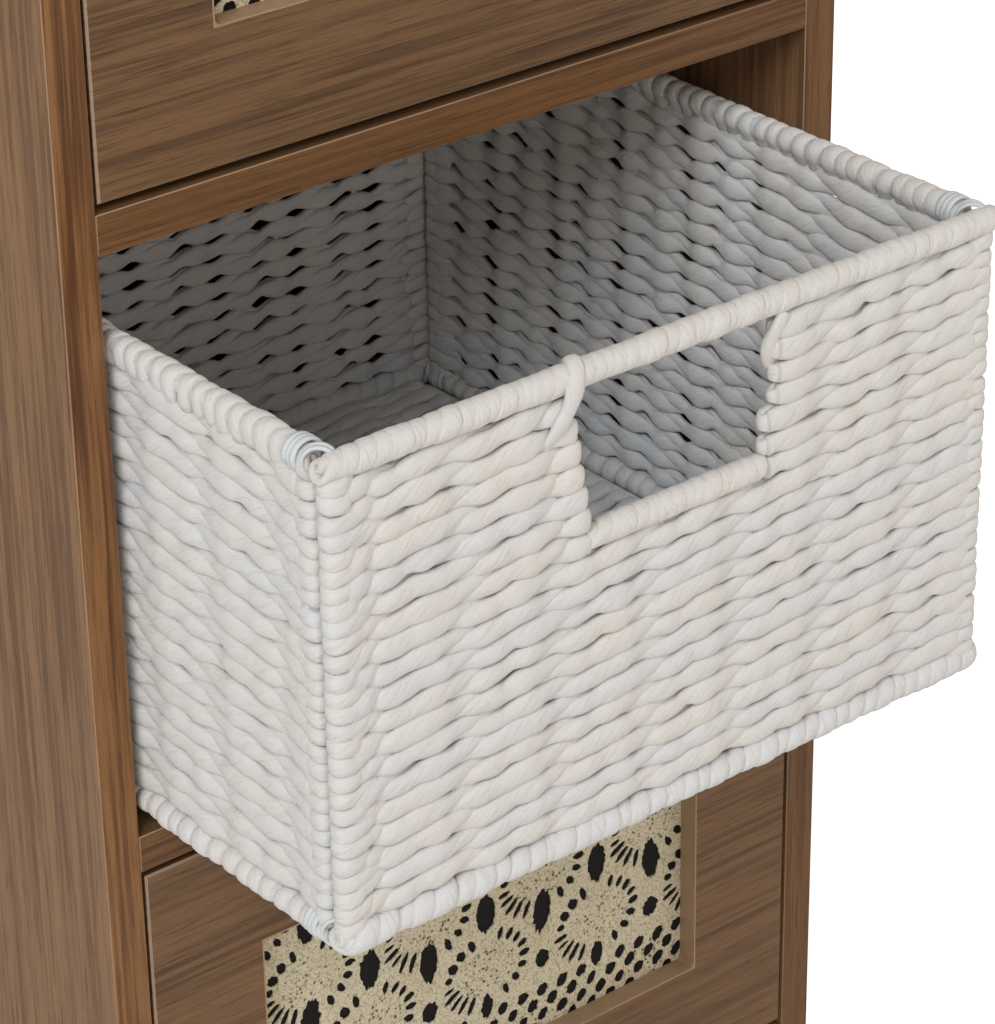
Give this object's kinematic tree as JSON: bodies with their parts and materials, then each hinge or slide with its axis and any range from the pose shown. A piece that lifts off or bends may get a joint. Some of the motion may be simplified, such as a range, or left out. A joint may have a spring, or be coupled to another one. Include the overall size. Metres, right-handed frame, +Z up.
{
  "type": "drawer cabinet",
  "caption": "Narrow wooden cabinet with lace-windowed wooden drawers above and below a woven rope basket that slides out as a drawer.",
  "frame": {"origin": "floor level, under the middle of the whole object with the basket pulled out as stored", "axes": "+Z up, -Y towards the front, +X to the right as seen from the front"},
  "size_m": [0.366, 0.48, 0.754],
  "materials": {
    "walnut_panel": "walnut-effect panel, satin",
    "walnut_edging": "walnut edging strip, satin",
    "drawer_face": "walnut with a horizontal grain, satin",
    "drawer_box": "pale lacquered wood",
    "back_board": "dark hardboard",
    "runner_wood": "waxed beech",
    "dowel_wood": "fluted beech",
    "paper_rope": "white twisted paper rope",
    "tie_string": "white string",
    "basket_wire": "white coated wire",
    "lace": "cream cotton lace",
    "backing_black": "black faced board, matt",
    "zinc_fitting": "zinc-plated",
    "glide_plastic": "dark brown plastic"
  },
  "bodies": {
    "carcass": {"left_side_panel": "walnut_panel", "right_side_panel": "walnut_panel", "top_panel": "walnut_panel", "upper_shelf": "walnut_panel", "lower_shelf": "walnut_panel", "bottom_panel": "walnut_panel", "back_panel": "back_board", "left_front_edging": "walnut_edging", "right_front_edging": "walnut_edging", "upper_shelf_edging": "walnut_edging", "lower_shelf_edging": "walnut_edging", "bottom_panel_edging": "walnut_edging", "top_panel_edging": "walnut_edging", "upper_left_runner": "runner_wood", "upper_right_runner": "runner_wood", "lower_left_runner": "runner_wood", "lower_right_runner": "runner_wood", "basket_left_cleat": "runner_wood", "basket_right_cleat": "runner_wood", "carcass_dowels": "dowel_wood", "cam_housings": "zinc_fitting", "cam_bolts": "zinc_fitting", "runner_screws": "zinc_fitting", "floor_glides": "glide_plastic"},
    "upper_drawer": {"upper_drawer_front": "drawer_face", "upper_lace": "lace", "upper_backing": "backing_black", "upper_beading": "drawer_box", "upper_drawer_left_side": "drawer_box", "upper_drawer_right_side": "drawer_box", "upper_drawer_back": "drawer_box", "upper_drawer_bottom": "drawer_box", "upper_drawer_dowels": "dowel_wood", "upper_drawer_screws": "zinc_fitting"},
    "lower_drawer": {"lower_drawer_front": "drawer_face", "lower_lace": "lace", "lower_backing": "backing_black", "lower_beading": "drawer_box", "lower_drawer_left_side": "drawer_box", "lower_drawer_right_side": "drawer_box", "lower_drawer_back": "drawer_box", "lower_drawer_bottom": "drawer_box", "lower_drawer_dowels": "dowel_wood", "lower_drawer_screws": "zinc_fitting"},
    "basket": {"basket_front_weave": "paper_rope", "basket_back_weave": "paper_rope", "basket_left_weave": "paper_rope", "basket_right_weave": "paper_rope", "basket_floor_weave": "paper_rope", "basket_front_rim": "paper_rope", "basket_back_rim": "paper_rope", "basket_left_rim": "paper_rope", "basket_right_rim": "paper_rope", "basket_foot_bars": "paper_rope", "basket_hand_bar": "paper_rope", "basket_corner_ties": "tie_string", "basket_wire_frames": "basket_wire"}
  },
  "joints": [
    {"name": "upper_drawer_slide", "type": "slide", "parent": "carcass", "child": "upper_drawer", "axis": [0, -1, 0], "range_m": [0, 0.22]},
    {"name": "lower_drawer_slide", "type": "slide", "parent": "carcass", "child": "lower_drawer", "axis": [0, -1, 0], "range_m": [0, 0.22]},
    {"name": "basket_slide", "type": "slide", "parent": "carcass", "child": "basket", "axis": [0, -1, 0], "range_m": [-0.12, 0.1]}
  ]
}
